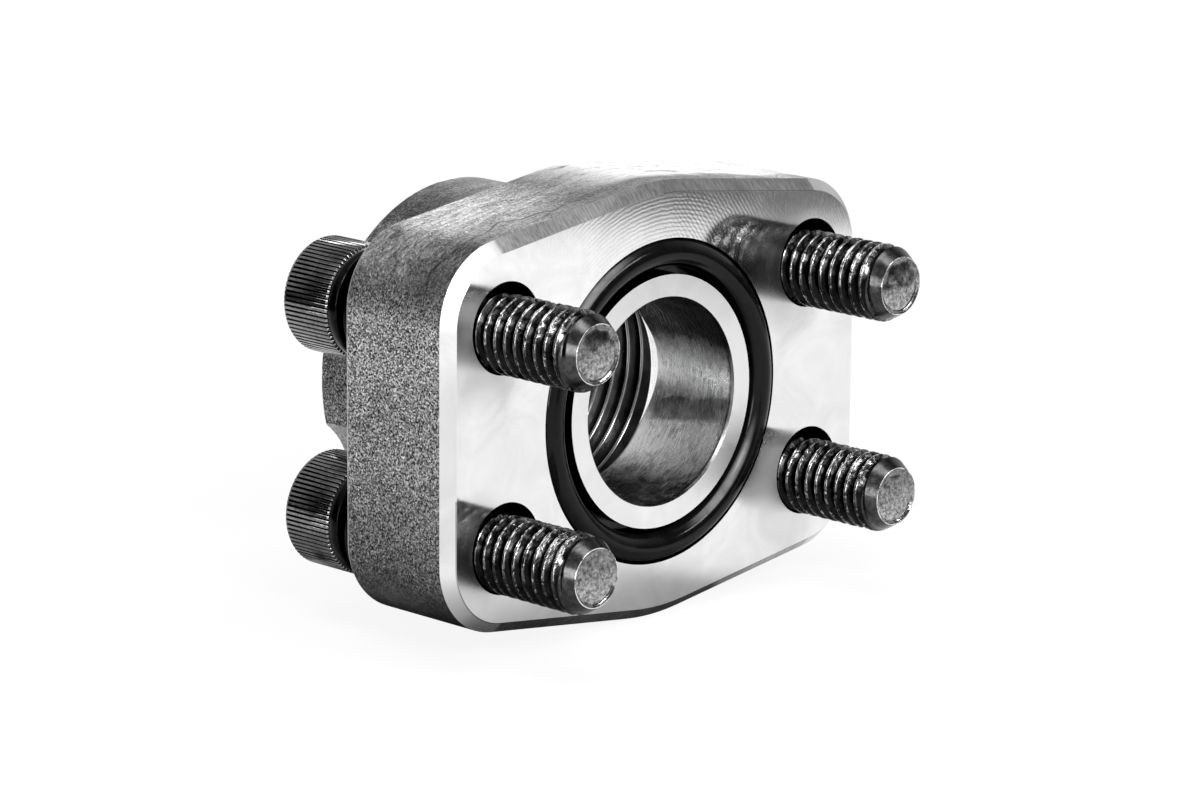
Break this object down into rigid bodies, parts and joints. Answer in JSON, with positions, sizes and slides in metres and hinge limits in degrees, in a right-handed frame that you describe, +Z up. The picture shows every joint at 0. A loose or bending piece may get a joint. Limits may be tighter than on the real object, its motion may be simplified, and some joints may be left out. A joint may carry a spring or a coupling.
{
  "type": "threaded four-bolt hydraulic flange",
  "caption": "Steel block flange with a threaded hub, a face seal in its groove, and socket head screws with spring washers pushed through its corner holes.",
  "frame": {"origin": "centre of the plain bore on the machined mating face", "axes": "+X along the block's long side, +Z up, +Y from the mating face towards the threaded hub, so the mating face looks along -Y"},
  "size_m": [0.0712, 0.051, 0.0532],
  "materials": {
    "forged_steel": "shot-blasted forging with bright machined face, seats and bores",
    "seal_rubber": "glossy black nitrile",
    "black_screw_steel": "oiled black oxide",
    "spring_steel": "dark oiled spring steel"
  },
  "bodies": {
    "root": {"flange_body": "forged_steel", "o_ring": "seal_rubber", "screw_top_left": "black_screw_steel", "washer_top_left": "spring_steel", "screw_top_right": "black_screw_steel", "washer_top_right": "spring_steel", "screw_bottom_left": "black_screw_steel", "washer_bottom_left": "spring_steel", "screw_bottom_right": "black_screw_steel", "washer_bottom_right": "spring_steel"}
  },
  "joints": []
}
